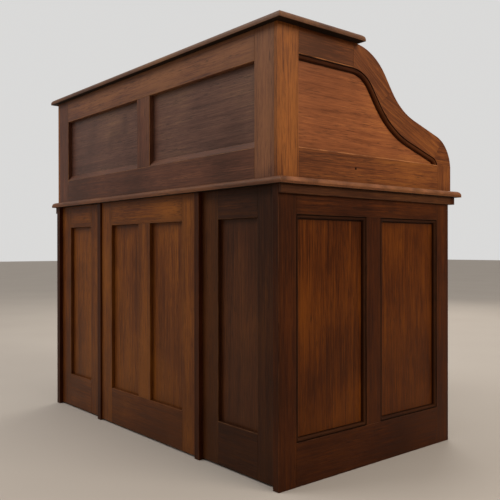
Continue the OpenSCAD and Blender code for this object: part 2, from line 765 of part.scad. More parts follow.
// A slat, rounded on the outside, with its strip of canvas behind it
module slat(i) {
    s = lift_rail_h + slat_pitch * (i - 0.5);
    half = (slat_pitch - slat_gap) / 2;
    edge = slat_t * 0.3;
    dome = slat_t - edge;
    color(wood) on_path(s) translate([-half_slat, 0, 0]) rotate([90, 0, 90])
        linear_extrude(2 * half_slat) polygon(concat([[0, -half], [edge, -half]],
            [for (t = [-60 : 20 : 60]) [edge + dome * (2 * cos(t) - 1), half * sin(t) / sin(60) * 0.93]],
            [[edge, half], [0, half]]));
    color(cloth) on_path(s) board([canvas_edge - half_slat, half_slat - canvas_edge],
        [-canvas_t - joint_gap, -joint_gap], [-half, half]);
}

desk_top();
side_battens();
front_rail();
outer_frame(true);  // left_outer_frame
outer_panels(true);  // left_outer_panels
inner_side(true);  // left_inner_side
pedestal_back_frame(true);  // left_back_frame
pedestal_back_panel(true);  // left_back_panel
drawer_rails(true);  // left_drawer_rails
pedestal_drawer(true, 2);  // left_upper_drawer
pedestal_drawer(true, 1);  // left_middle_drawer
pedestal_drawer(true, 0);  // left_lower_drawer
writing_slide(true);  // left_writing_slide
outer_frame(false);  // right_outer_frame
outer_panels(false);  // right_outer_panels
inner_side(false);  // right_inner_side
pedestal_back_frame(false);  // right_back_frame
pedestal_back_panel(false);  // right_back_panel
drawer_rails(false);  // right_drawer_rails
pedestal_drawer(false, 2);  // right_upper_drawer
pedestal_drawer(false, 1);  // right_middle_drawer
pedestal_drawer(false, 0);  // right_lower_drawer
writing_slide(false);  // right_writing_slide
modesty_frame();
modesty_panels();
kneehole_drawer_rails();
kneehole_drawer();
gallery_frame(true);  // left_gallery_frame
gallery_panel(true);  // left_gallery_panel
gallery_frame(false);  // right_gallery_frame
gallery_panel(false);  // right_gallery_panel
gallery_back_frame();
gallery_back_panels();
roof_board();
pigeonhole_case();
small_drawer(true);  // left_small_drawer
small_drawer(false);  // right_small_drawer
lift_rail();
lift_rail_fittings();
for (i = [1 : slat_count]) slat(i);
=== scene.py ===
import json
import random
from math import radians, sin, cos, pi

import bmesh
import bpy
from mathutils import Matrix, Vector


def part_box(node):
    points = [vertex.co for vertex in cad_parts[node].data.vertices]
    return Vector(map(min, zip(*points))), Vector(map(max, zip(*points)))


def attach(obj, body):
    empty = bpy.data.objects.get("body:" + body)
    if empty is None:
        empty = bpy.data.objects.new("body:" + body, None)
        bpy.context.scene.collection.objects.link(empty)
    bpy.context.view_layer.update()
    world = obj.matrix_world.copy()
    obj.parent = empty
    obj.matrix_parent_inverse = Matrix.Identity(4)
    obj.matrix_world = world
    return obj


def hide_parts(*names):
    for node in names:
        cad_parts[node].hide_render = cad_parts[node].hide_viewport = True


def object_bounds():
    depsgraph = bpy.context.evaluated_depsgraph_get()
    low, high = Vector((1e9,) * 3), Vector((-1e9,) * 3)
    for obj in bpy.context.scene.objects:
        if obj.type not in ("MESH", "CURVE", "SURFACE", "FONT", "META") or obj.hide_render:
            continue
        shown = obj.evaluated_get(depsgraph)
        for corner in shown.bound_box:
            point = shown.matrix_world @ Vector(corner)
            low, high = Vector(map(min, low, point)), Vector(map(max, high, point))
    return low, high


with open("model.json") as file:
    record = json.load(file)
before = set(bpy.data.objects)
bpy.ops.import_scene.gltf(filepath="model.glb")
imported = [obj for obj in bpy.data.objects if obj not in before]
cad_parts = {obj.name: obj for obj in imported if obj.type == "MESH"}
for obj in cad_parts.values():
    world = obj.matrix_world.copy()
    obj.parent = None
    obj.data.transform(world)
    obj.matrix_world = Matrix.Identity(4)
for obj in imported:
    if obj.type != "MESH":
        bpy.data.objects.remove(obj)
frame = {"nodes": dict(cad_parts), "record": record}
cad_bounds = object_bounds()

# ---------------------------------------------------------------------------------------------
# The studio: a camera off the rear left corner at the height of a seated eye, a pale floor that
# runs out of sight, three large soft lights, and a bright room round them.
camera_place = (-1.8406, 1.4714, 0.5937)
look_yaw = radians(-39.982)
look_pitch = radians(-0.107)
look_roll = radians(-0.065)


def put_in_scene(name, data):
    """A new object that holds data."""
    made = bpy.data.objects.new(name, data)
    bpy.context.scene.collection.objects.link(made)
    return made


camera_data = bpy.data.cameras.new("camera")
camera_data.sensor_width = 36
camera_data.lens = 48.44
camera = put_in_scene("camera", camera_data)
bpy.context.scene.camera = camera
look = Vector((cos(look_pitch) * cos(look_yaw), cos(look_pitch) * sin(look_yaw), sin(look_pitch)))
facing = look.to_track_quat("-Z", "Y").to_matrix().to_4x4()
camera.matrix_world = (Matrix.Translation(camera_place) @ facing
                       @ Matrix.Rotation(look_roll, 4, "Z"))


def join_nodes(tree, kind, inputs=(), **settings):
    """A new node in tree. A value in inputs is a socket to link or a number to set."""
    made = tree.nodes.new(kind)
    for name, value in settings.items():
        setattr(made, name, value)
    for key, value in dict(inputs).items():
        if isinstance(value, bpy.types.NodeSocket):
            tree.links.new(value, made.inputs[key])
        else:
            made.inputs[key].default_value = value
    return made


def blend(tree, share, first, second):
    """The colour part way from first to second, each a socket or three numbers."""
    first, second = (colour if isinstance(colour, bpy.types.NodeSocket) else (*colour, 1)
                     for colour in (first, second))
    return join_nodes(tree, "ShaderNodeMix", {0: share, 6: first, 7: second},
                      data_type="RGBA").outputs[2]


def fade(tree, value, low, high, to_low=0.0, to_high=1.0):
    """The value, with low to high stretched to to_low to to_high."""
    return join_nodes(tree, "ShaderNodeMapRange", {
        "Value": value, "From Min": low, "From Max": high, "To Min": to_low,
        "To Max": to_high}).outputs[0]


def new_material(name):
    """A material, its nodes and its shader, and the place of each point on the piece."""
    made = bpy.data.materials.new(name)
    made.use_nodes = True
    place = join_nodes(made.node_tree, "ShaderNodeTexCoord").outputs["Object"]
    return made, made.node_tree, made.node_tree.nodes["Principled BSDF"], place


def floor_paint():
    """Matt paint, faintly mottled."""
    made, tree, shader, place = new_material("pale_floor")
    mottle = join_nodes(tree, "ShaderNodeTexNoise", {"Vector": place, "Scale": 1.4}).outputs[0]
    tree.links.new(blend(tree, mottle, (0.335, 0.285, 0.240), (0.375, 0.325, 0.275)),
                   shader.inputs["Base Color"])
    shader.inputs["Roughness"].default_value = 0.75
    shader.inputs["Specular IOR Level"].default_value = 0.25
    return made


bpy.ops.mesh.primitive_plane_add(size=60, location=(0, 0, cad_bounds[0][2] - 0.0005))
studio_floor = bpy.context.object
studio_floor.name = "studio_floor"
studio_floor.data.materials.append(floor_paint())


def soft_light(name, place, aim, size, power, colour):
    """A soft box at place, turned to aim."""
    data = bpy.data.lights.new(name, "AREA")
    data.shape = "RECTANGLE"
    data.size, data.size_y = size
    data.energy = power
    data.color = colour
    lamp = put_in_scene(name, data)
    aimed = (Vector(aim) - Vector(place)).to_track_quat("-Z", "Y").to_matrix().to_4x4()
    lamp.matrix_world = Matrix.Translation(place) @ aimed


soft_light("window_light", place=(-3.8, -0.6, 2.8), aim=(0, 0, 0.8), size=(2.6, 2.0), power=125,
           colour=(1.0, 0.95, 0.87))
soft_light("back_light", place=(1.8, 3.3, 4.2), aim=(0.3, 0.3, 0.4), size=(2.6, 2.2), power=120,
           colour=(0.96, 0.98, 1.0))
soft_light("front_light", place=(2.6, -3.8, 2.9), aim=(0.1, -0.3, 0.6), size=(2.8, 2.2), power=90,
           colour=(1.0, 0.97, 0.92))
ceiling = bpy.data.lights.new("ceiling_light", "SUN")
ceiling.energy = 1.5
ceiling.angle = radians(100)
put_in_scene("ceiling_light", ceiling)
studio = bpy.data.worlds.new("studio")
studio.use_nodes = True
walls = studio.node_tree.nodes["Background"]
seen = studio.node_tree.nodes.new("ShaderNodeLightPath")
heading = join_nodes(studio.node_tree, "ShaderNodeTexCoord")
window_side = join_nodes(studio.node_tree, "ShaderNodeVectorMath", {
    0: heading.outputs["Generated"], 1: (0.55, 0.75, 0.35)}, operation="DOT_PRODUCT")
room_light = fade(studio.node_tree, window_side.outputs["Value"], -0.8, 0.8, 0.12, 0.40)
strength = join_nodes(studio.node_tree, "ShaderNodeMix", {
    0: seen.outputs["Is Camera Ray"], 2: room_light, 3: 0.70})
walls.inputs["Color"].default_value = (1.0, 0.995, 0.985, 1)
studio.node_tree.links.new(strength.outputs[0], walls.inputs["Strength"])
bpy.context.scene.world = studio
bpy.context.scene.view_settings.view_transform = "Standard"

# ---------------------------------------------------------------------------------------------
# The outer sides of the pedestals: five boards tenoned together round two thin panels. They are
# stained dark and varnished, and the arrises have worn pale. A quirked ovolo runs round each
# opening.
arris_bevel = 0.0009
joint_bevel = 0.0003
joint_gap = 0.0002
# The rims round the openings are painted paler than the outer arrises: partly wear, partly a
# painted highlight along the lit arris
rim_wear_and_highlight, arris_wear = 2.6, 1.0
clear_of_joints = Vector((1, 1, 0))
board_seed = 11


def islands(shape):
    """The separate boards of a bmesh, each as a list of its vertices."""
    met = set()
    found = []
    for first in shape.verts:
        if first in met:
            continue
        met.add(first)
        board = [first]
        for v in board:
            for e in v.link_edges:
                w = e.other_vert(v)
                if w not in met:
                    met.add(w)
                    board.append(w)
        found.append(board)
    return found


def limits(points):
    """The least and the most of each coordinate."""
    points = list(points)
    return [(min(p[k] for p in points), max(p[k] for p in points)) for k in range(3)]


def grain_axes(points, way=None):
    """Three directions: along the board, and two across it."""
    middle = sum(points, Vector()) / len(points)
    spans = [b - a for a, b in limits(points)]
    long_axis = Vector([1.0 if k == spans.index(max(spans)) else 0.0 for k in range(3)])
    along = long_axis.copy()
    # The direction that the points spread along most, unless that is all but the axis itself
    for _ in range(12):
        along = sum(((p - middle) * (p - middle).dot(along) for p in points), Vector()).normalized()
    if abs(along.dot(long_axis)) > 0.97:
        along = long_axis
    if way:
        along = Vector(way)
    thin = Vector([1.0 if k == spans.index(min(spans)) else 0.0 for k in range(3)])
    across = thin.cross(along).normalized()
    return along, across, along.cross(across)


def add_layers(shape):
    """The layers that the woods read: grain, tone, how far both ends and edges are, and wear."""
    vectors = shape.verts.layers.float_vector
    layers = (vectors.new("grain"), shape.verts.layers.float.new("tone"), vectors.new("from_low"),
              vectors.new("from_high"))
    shape.faces.layers.float.new("wear")
    return layers


def cut_boards(node, keep=None):
    """A copy of a CAD node with merged corners and flat faces. keep picks boards by limits."""
    shape = bmesh.new()
    shape.from_mesh(frame["nodes"][node].data)
    add_layers(shape)
    shape.edges.layers.int.new("cut")
    bmesh.ops.remove_doubles(shape, verts=shape.verts, dist=1e-5)
    bmesh.ops.dissolve_limit(shape, angle_limit=radians(0.6), verts=shape.verts, edges=shape.edges)
    for board in islands(shape):
        if keep and not keep(limits(v.co for v in board)):
            bmesh.ops.delete(shape, geom=board, context="VERTS")
    return shape


def ease_arrises(shape, arris, rim):
    """Bevels the joints by a hair, the outer arrises by arris and those round the openings by rim,
    and writes how worn the last two are. The rims round the openings are written much paler than
    the outer arrises: partly wear, partly a painted highlight along the arris."""
    outer = limits(v.co for v in shape.verts)
    boards = islands(shape)
    boxes = [limits(v.co for v in board) for board in boards]
    own = {v: i for i, board in enumerate(boards) for v in board}
    touching = 0.0005

    def in_joint(e):
        """Whether more than half of an edge lies against another board."""
        spots = [e.verts[0].co.lerp(e.verts[1].co, share) for share in (0.1, 0.3, 0.5, 0.7, 0.9)]
        return any(i != own[e.verts[0]]
                   and sum(all(low - touching < c < high + touching
                               for c, (low, high) in zip(spot, box)) for spot in spots) > 2
                   for i, box in enumerate(boxes))

    def is_outer(e):
        """Whether an edge runs along the outside of the whole frame."""
        middle = (e.verts[0].co + e.verts[1].co) / 2
        return sum(min(abs(c - low), abs(c - high)) < 1e-4
                   for c, (low, high) in zip(middle, outer)) >= 2

    wear = shape.faces.layers.float["wear"]
    cut = shape.edges.layers.int["cut"]
    opening, outside, joint = 1, 2, 3
    for e in shape.edges:
        if len(e.link_faces) == 2 and e.calc_face_angle() > radians(28):
            e[cut] = joint if in_joint(e) else outside if is_outer(e) or not rim else opening
    for kind, offset, segments, worn in ((opening, rim, 2, rim_wear_and_highlight),
                                         (outside, arris, 2, arris_wear),
                                         (joint, joint_bevel, 1, 0.0)):
        for board in islands(shape):
            edges = [e for v in board for e in v.link_edges if e[cut] == kind and e.verts[0] == v]
            if edges:
                made = bmesh.ops.bevel(shape, geom=edges, offset=offset, segments=segments,
                                       profile=0.5, affect="EDGES", clamp_overlap=True)
                for f in made["faces"]:
                    f[wear] = worn
                    for e in f.edges:
                        e[cut] = 0


def as_object(shape, name, material, crisp):
    """An object from a bmesh, smooth except at edges that turn by more than crisp degrees."""
    for f in shape.faces:
        f.smooth = True
    mesh = bpy.data.meshes.new(name)
    shape.to_mesh(mesh)
    shape.free()
    mesh.set_sharp_from_angle(angle=radians(crisp))
    mesh.materials.append(material)
    return put_in_scene(name, mesh)


def finish_boards(shape, name, material, slopes=False, way=None, tone_of=None, below=None):
    """Writes each board's grain and tone into a new object made from shape. way is the grain's
    direction where it isn't the board's longest; tone_of gives the tone from its box; slopes wears
    the rounded edges, less along the wall."""
    global board_seed
    grain = shape.verts.layers.float_vector["grain"]
    tone = shape.verts.layers.float["tone"]
    from_low = shape.verts.layers.float_vector["from_low"]
    from_high = shape.verts.layers.float_vector["from_high"]
    wear = shape.faces.layers.float["wear"]
    for board in islands(shape):
        board_seed += 1
        luck = random.Random(board_seed)
        along, across, through = grain_axes([v.co for v in board], way)
        shift = Vector((luck.uniform(0, 9), luck.uniform(0, 9), luck.uniform(0, 9)))
        shade = luck.uniform(-1, 1) + (tone_of(limits(v.co for v in board)) if tone_of else 0.0)
        spots = [Vector((v.co.dot(along), v.co.dot(across), v.co.dot(through))) for v in board]
        (left, right), (bottom, top), _ = limits(spots)
        for v, spot in zip(board, spots):
            v[grain] = spot + shift
            v[from_low] = Vector((spot.x - left, spot.y - bottom, 0))
            v[from_high] = Vector((right - spot.x, top - spot.y, 0))
            v[tone] = shade
    for f in shape.faces:
        if slopes and max(abs(c) for c in f.normal) < 0.995:
            f[wear] = 0.25 if f.normal.y > 0.3 else 1.0
        # Downward faces take below, when it is given: near-black wood as painted shade under the
        # board
        f.material_index = 1 if below and f.normal.z < -0.9 else 0
    made = as_object(shape, name, material, 22)
    if below:
        made.data.materials.append(below)
    level = made.modifiers.new("even_faces", "WEIGHTED_NORMAL")
    level.keep_sharp = True
    return made


def body_of_node(node):
    """The body that a node belongs to."""
    return next(b for b, nodes in frame["record"]["behaviour"]["bodies"].items() if node in nodes)


def dress(node, material, arris=arris_bevel, slopes=False, keep=None, name=None, stands_in=True,
          way=None, tone_of=None, rim=0.0, below=None):
    """The CAD node again, board by board, with eased arrises and a finish. keep picks some of its
    boards, stands_in says that this piece takes the node's place, and below is the near-black wood
    put on the downward faces as painted shade. The rest are as for ease_arrises and finish_boards."""
    shape = cut_boards(node, keep)
    ease_arrises(shape, arris, rim)
    made = finish_boards(shape, name or node + "_boards", material, slopes, way, tone_of, below)
    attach(made, body_of_node(node))
    if stands_in:
        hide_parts(node)


def sums_in(tree):
    """The function that adds one step of arithmetic to tree."""
    def sums(a, b, kind="ADD", clamp=False):
        return join_nodes(tree, "ShaderNodeMath", {0: a, 1: b}, operation=kind,
                          use_clamp=clamp).outputs[0]
    return sums


def stained_wood(name, colour, gloss=0.42, wear=0.5, contrast=1.0, pores=0.7, dirt_and_shade=0.5,
                 worn_colour=(0.26, 0.115, 0.045), coat=0.05, shine=0.30, blotches=0.85):
    """Open-grained hardwood under stain and varnish. colour is its middle tone, in linear light."""
    made, tree, shader, place = new_material(name)
    sums = sums_in(tree)

    def layer(of, output="Vector"):
        """What add_layers put there under this name."""
        return join_nodes(tree, "ShaderNodeAttribute", attribute_name=of).outputs[output]

    grain = layer("grain")
    tone = layer("tone", "Fac")
    worn = layer("wear", "Fac")
    height = join_nodes(tree, "ShaderNodeSeparateXYZ", {0: place}).outputs[2]

    def shaded(share):
        """The middle tone, each channel times its share."""
        return [c * k for c, k in zip(colour, share)]

    def figure(along, across, detail, distortion=0.0, rough=0.55):
        """Noise drawn out along the grain."""
        spot = join_nodes(tree, "ShaderNodeMapping", {"Vector": grain,
                                                      "Scale": (along, across, across)})
        return join_nodes(tree, "ShaderNodeTexNoise", {
            "Vector": spot.outputs[0], "Scale": 1.0, "Detail": detail, "Roughness": rough,
            "Distortion": distortion}).outputs[0]

    def cloud(scale, detail):
        """Noise that takes no notice of the grain."""
        return join_nodes(tree, "ShaderNodeTexNoise", {"Vector": place, "Scale": scale,
                                                       "Detail": detail}).outputs[0]

    # Growth rings, finer streaks, fibres, and the short dark ticks of open pores
    rings = figure(1.0, 30, 5.0, 0.9, 0.62)
    streak = figure(6.0, 260, 4.0, 0.3, 0.6)
    fibre = figure(24, 1100, 2.0)
    ticks = sums(fade(tree, figure(32, 420, 2.0), 0.53, 0.66),
                 fade(tree, figure(5, 40, 2.0), 0.38, 0.60), "MULTIPLY")
    stain = cloud(3.0, 3.0)
    handling = fade(tree, cloud(5.5, 4.0), 0.42, 0.30)
    shares = ((rings, 0.42), (streak, 0.70), (fibre, 0.60))
    drawn = -0.5 * sum(share for _, share in shares)
    for part, share in shares:
        drawn = sums(sums(part, share, "MULTIPLY"), drawn)
    # Paler boards took the stain unevenly, so their grain shows more
    drawn = sums(drawn, fade(tree, tone, 2.0, 5.0, contrast, contrast * 1.8), "MULTIPLY")
    shade = sums(sums(sums(tone, 0.05, "MULTIPLY"), 0.52 - 0.5 * blotches), drawn)
    shade = sums(shade, sums(stain, blotches, "MULTIPLY"))
    ramp = join_nodes(tree, "ShaderNodeValToRGB", {0: shade})
    points = ramp.color_ramp.elements
    points[0].position, points[0].color = 0.24, (*shaded((0.36, 0.30, 0.28)), 1)
    points[1].position, points[1].color = 0.78, (*shaded((1.9, 2.25, 1.7)), 1)
    points.new(0.5).color = (*colour, 1)
    pored = blend(tree, sums(ticks, pores, "MULTIPLY"), ramp.outputs[0],
                  shaded((0.30, 0.30, 0.30)))
    # Darker along the joints, partly old polish and dirt and partly painted shade in the joints,
    # and painted shade that darkens the wood towards the floor
    low = join_nodes(tree, "ShaderNodeSeparateXYZ", {0: layer("from_low")}).outputs
    high = join_nodes(tree, "ShaderNodeSeparateXYZ", {0: layer("from_high")}).outputs
    nearest = sums(sums(low[0], high[0], "MINIMUM"), sums(low[1], high[1], "MINIMUM"), "MINIMUM")
    ragged = sums(nearest, sums(sums(cloud(26, 3.0), 0.5, "SUBTRACT"), 0.03, "MULTIPLY"))
    # Painted shade: darker towards the floor, in patches
    floor_shade = sums(fade(tree, height, 0.50, 0.10),
                fade(tree, cloud(7, 3.0), 0.30, 0.62, 0.55, 1.25), "MULTIPLY")
    # The joint mask is part dirt and part painted shade; the handling patches are dirt
    shade_and_grime = sums(fade(tree, ragged, 0.0, 0.034, 1.0, 0.0), handling, "MAXIMUM")
    shade_and_grime = sums(sums(shade_and_grime, floor_shade, "MAXIMUM"), dirt_and_shade, "MULTIPLY")
    darkened = blend(tree, shade_and_grime, pored, shaded((0.42, 0.42, 0.42)))
    # The finish has rubbed off in patches where an edge is worn
    patches = fade(tree, cloud(17, 4.0), 0.36, 0.66)
    bare = sums(sums(worn, patches, "MULTIPLY"), wear, "MULTIPLY", clamp=True)
    tree.links.new(blend(tree, bare, darkened, worn_colour), shader.inputs["Base Color"])
    dull = sums(fade(tree, streak, 0.3, 0.7, gloss - 0.05, gloss + 0.08),
                sums(bare, 0.2, "MULTIPLY"))
    tree.links.new(sums(dull, sums(stain, 0.10, "MULTIPLY")), shader.inputs["Roughness"])
    shader.inputs["Specular IOR Level"].default_value = shine
    shader.inputs["Specular Tint"].default_value = (1.0, 0.66, 0.42, 1)
    shader.inputs["Coat Weight"].default_value = coat
    shader.inputs["Coat Roughness"].default_value = 0.18
    relief = sums(sums(streak, 0.5, "MULTIPLY"), sums(ticks, -0.6, "MULTIPLY"))
    bump = join_nodes(tree, "ShaderNodeBump", {"Height": relief, "Strength": 0.35,
                                               "Distance": 0.0006})
    tree.links.new(bump.outputs[0], shader.inputs["Normal"])
    return made


base_wood = stained_wood("base_frame_wood", (0.044, 0.0085, 0.0012), contrast=1.5, coat=0.0,
                         shine=0.16, blotches=1.1, worn_colour=(0.13, 0.045, 0.016))
base_panel_wood = stained_wood("base_panel_wood", (0.070, 0.0145, 0.0012), contrast=1.5, gloss=0.36,
                               coat=0.0, shine=0.16, blotches=1.3)


def stuck_moulding(name, outline, out, profile, material, body, closed=True):
    """A moulding along an outline. A profile point is (inwards, out, tone); out is a direction."""
    shape = bmesh.new()
    grain, tone, from_low, from_high = add_layers(shape)
    centre = sum(outline, Vector()) / len(outline)
    count = len(outline)
    rings = []
    for inward, proud, _ in profile:
        ring = []
        for i in range(count):
            here = outline[i]
            before, after = outline[i - 1], outline[(i + 1) % count]
            if not closed and i == 0:
                before = here - (after - here)
            if not closed and i == count - 1:
                after = here + (here - before)
            a, b = (here - before).normalized(), (after - here).normalized()
            na, nb = out.cross(a), out.cross(b)
            mitre = (na + nb) / max(0.3, 1 + na.dot(nb))
            ring.append(here + mitre * inward + out * proud)
        rings.append([shape.verts.new(p) for p in ring])
    for k in range(len(profile)):
        near, far = rings[k], rings[(k + 1) % len(profile)]
        for i in range(count if closed else count - 1):
            j = (i + 1) % count
            shape.faces.new((near[i], near[j], far[j], far[i]))
    if not closed:
        shape.faces.new([ring[0] for ring in rings])
        shape.faces.new([ring[-1] for ring in rings])
    bmesh.ops.recalc_face_normals(shape, faces=shape.faces)
    for k, ring in enumerate(rings):
        run = 0.0
        for i, v in enumerate(ring):
            run += (v.co - ring[i - 1].co).length if i else 0.0
            v[grain] = Vector((run, (v.co - centre).dot(out), k * 0.002))
            # The profile's tone carries the painted shade in the moulding's hollows
            v[tone] = profile[k][2]
            v[from_low] = v[from_high] = clear_of_joints
    made = as_object(shape, name, material, 40)
    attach(made, body)


def ovolo(width, depth):
    """The moulding's profile: a quirk beside the frame, a round, and a fillet down on the panel.
    The two hollows get a far darker tone, as painted shade."""
    back = depth - 0.0003
    rounds = [(width * (0.24 + 0.60 * sin(radians(a))),
               -depth * (0.10 + 0.66 * (1 - cos(radians(a)))),
               2.5 - abs(a - 40) / 25) for a in range(0, 91, 15)]
    return [(-0.0002, -0.0003, -5), (width * 0.06, -0.0003, -7), (width * 0.10, -depth * 0.35, -9),
            (width * 0.18, -depth * 0.35, -9), *rounds, (width * 0.86, -depth * 0.86, -8),
            (width, -depth * 0.88, -9), (width, -back, -9), (-0.0002, -back, -9)]


base_moulding_width = 0.012
# Painted shade: this wood is set far darker than the frame's, to hold down the light that its
# upward and leftward faces catch
shade_darkened_moulding_wood = stained_wood("base_moulding_wood", (0.017, 0.0038, 0.0010), gloss=0.40, dirt_and_shade=0.0,
                             wear=0.0, coat=0.0, shine=0.12)


def board_boxes(node):
    """The limits of each board in a node."""
    shape = cut_boards(node)
    found = [limits(v.co for v in board) for board in islands(shape)]
    shape.free()
    return found


def mould_openings(node, frame_node, side):
    """A moulding round each panel of node, on the face of frame_node that looks to side."""
    low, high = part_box(frame_node)
    face = high[0] if side > 0 else low[0]
    out = Vector((side, 0, 0))
    for i, box in enumerate(board_boxes(node)):
        # The opening is larger than its panel by the joint's gap
        (_, front, bottom), (_, rear, top) = ([least - joint_gap for least, _ in box],
                                              [most + joint_gap for _, most in box])
        panel_face = box[0][1] + joint_gap if side > 0 else box[0][0] - joint_gap
        depth = abs(face - panel_face) - joint_gap
        outline = [Vector((face, front, bottom)), Vector((face, rear, bottom)),
                   Vector((face, rear, top)), Vector((face, front, top))]
        if side < 0:
            outline.reverse()
        stuck_moulding(f"{node}_moulding_{i + 1}", outline, out, ovolo(base_moulding_width, depth),
                       shade_darkened_moulding_wood, body_of_node(node))


for hand, side in (("left", -1), ("right", 1)):
    dress(f"{hand}_outer_frame", base_wood)
    dress(f"{hand}_outer_panels", base_panel_wood)
    mould_openings(f"{hand}_outer_panels", f"{hand}_outer_frame", side)

# ---------------------------------------------------------------------------------------------
# The backs of the pedestals and the middle back: plain square-edged frames round flat panels,
# set between the pedestal sides. The kneehole's own sides are framed the same way.
base_back_wood = stained_wood("pedestal_back_wood", (0.036, 0.0090, 0.0026), contrast=1.4, coat=0.0,
                              shine=0.18)
base_back_panel_wood = stained_wood("pedestal_back_panel_wood", (0.056, 0.0150, 0.0045),
                                    contrast=1.2, gloss=0.36, coat=0.0, shine=0.22)
middle_back_wood = stained_wood("middle_back_wood", (0.114, 0.0290, 0.0045), contrast=1.4,
                                gloss=0.40, coat=0.0, shine=0.20, blotches=1.1)


def dark_bottom_rails(box):
    """Rails near the floor are darker than the rest of the frame."""
    return -5.0 if box[2][1] < 0.22 else 1.5


def pale_stile(box):
    """The stile beside the kneehole was cut from a paler board."""
    return 7.0 if box[0][1] > -0.33 and box[2][1] - box[2][0] > 0.3 else 0.0


for hand in ("left", "right"):
    dress(f"{hand}_inner_side", base_wood)
dress("left_back_frame", base_back_wood, tone_of=pale_stile)
dress("left_back_panel", base_back_panel_wood)
dress("right_back_frame", middle_back_wood)
dress("right_back_panel", middle_back_wood, tone_of=lambda box: 2.5)
dress("modesty_frame", middle_back_wood, tone_of=dark_bottom_rails)
dress("modesty_panels", middle_back_wood, tone_of=lambda box: -0.8)

# ---------------------------------------------------------------------------------------------
# The dust frames and runners that carry the drawers: plain pine and oak, tenoned and nailed, and
# never stained. Only their front rails show, and those are as dark as the pedestal sides.
plain_wood = stained_wood("plain_wood", (0.34, 0.195, 0.095), gloss=0.6, wear=0.2, pores=0.3,
                          contrast=0.7, dirt_and_shade=0.25, worn_colour=(0.48, 0.31, 0.17), coat=0.0)
front_wood = stained_wood("front_wood", (0.112, 0.0300, 0.0070), contrast=1.3, gloss=0.36,
                          shine=0.22)
desk_face_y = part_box("left_outer_frame")[0][1]


def at_front(box):
    """Whether a board's face is in the plane of the drawer fronts."""
    return box[1][0] < desk_face_y + 0.001


for node in ("left_drawer_rails", "right_drawer_rails", "kneehole_drawer_rails"):
    dress(node, base_wood, keep=at_front, name=node + "_front")
    dress(node, plain_wood, keep=lambda box: not at_front(box), name=node + "_inside",
          stands_in=False)

# ---------------------------------------------------------------------------------------------
# The drawers: a stained front with turned knobs glued in, dovetailed to thin plain sides, and a
# plain bottom. The pull-out writing slides are made of the same two woods.
drawer_knob = (0.034, 0.030)
slide_knob = (0.018, 0.021)
widest_knob = 0.05
knob_profile = [(0.0, 0.0), (0.34, 0.0), (0.34, 0.05), (0.26, 0.10), (0.185, 0.17), (0.17, 0.30),
                (0.19, 0.42), (0.28, 0.50), (0.42, 0.56), (0.485, 0.64), (0.50, 0.72), (0.47, 0.82),
                (0.38, 0.90), (0.33, 0.915), (0.30, 0.93), (0.20, 0.97), (0.10, 0.99), (0.0, 1.0)]


def turned(name, places, diameter, length, direction, material, body, turns=40):
    """Turned knobs on one body: the profile, in shares of the diameter and the length, spun round
    an axis through each place."""
    shape = bmesh.new()
    grain, tone, from_low, from_high = add_layers(shape)
    turn = Vector(direction).to_track_quat("Z", "Y").to_matrix()
    for n, place in enumerate(places):
        rows = []
        for radius, height in knob_profile:
            count = 1 if radius == 0.0 else turns
            row = []
            for i in range(count):
                angle = 2 * pi * i / count
                local = Vector((radius * diameter * cos(angle), radius * diameter * sin(angle),
                                height * length))
                v = shape.verts.new(Vector(place) + turn @ local)
                v[grain] = Vector((local.y + n, local.z, local.x))
                v[tone] = 0.3
                v[from_low] = v[from_high] = clear_of_joints
                row.append(v)
            rows.append(row)
        for a, b in zip(rows, rows[1:]):
            for i in range(turns):
                j = (i + 1) % turns
                if len(a) == 1:
                    shape.faces.new((a[0], b[j], b[i]))
                elif len(b) == 1:
                    shape.faces.new((a[i], a[j], b[0]))
                else:
                    shape.faces.new((a[i], a[j], b[j], b[i]))
    bmesh.ops.recalc_face_normals(shape, faces=shape.faces)
    made = as_object(shape, name, material, 50)
    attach(made, body)


def knob_boxes(node):
    """The boxes of a node's knobs: the islands that stand in front of its foremost board."""
    found = board_boxes(node)
    front = min(box[1][0] for box in found)
    return [box for box in found
            if box[1][0] < front + 0.002 and box[0][1] - box[0][0] < widest_knob]


def is_knob(box, knobs):
    """Whether a board's box is that of a knob."""
    return any(abs(box[0][0] - knob[0][0]) < 1e-5 and abs(box[1][0] - knob[1][0]) < 1e-5
               for knob in knobs)


pin_pitch = 0.034
pin_depth = 0.0145
pin_middle = 0.0075
pin_thickness = 0.0004
dovetail_wood = stained_wood("dovetail_wood", (0.19, 0.090, 0.038), gloss=0.6, wear=0.0, dirt_and_shade=0.0,
                             coat=0.0)


def new_tree(name, **inputs):
    """An empty node tree with these inputs, each a kind of socket, and one Geometry output."""
    tree = bpy.data.node_groups.new(name, "GeometryNodeTree")
    for label, kind in inputs.items():
        tree.interface.new_socket(label, in_out="INPUT", socket_type="NodeSocket" + kind)
    tree.interface.new_socket("Geometry", in_out="OUTPUT", socket_type="NodeSocketGeometry")
    return tree, tree.nodes.new("NodeGroupInput").outputs


def stored(tree, shape, name, value, kind="FLOAT_VECTOR"):
    """The shape with value written on its points, where the woods read it."""
    return join_nodes(tree, "GeometryNodeStoreNamedAttribute", {
        "Geometry": shape, "Name": name, "Value": value}, data_type=kind,
        domain="POINT").outputs[0]


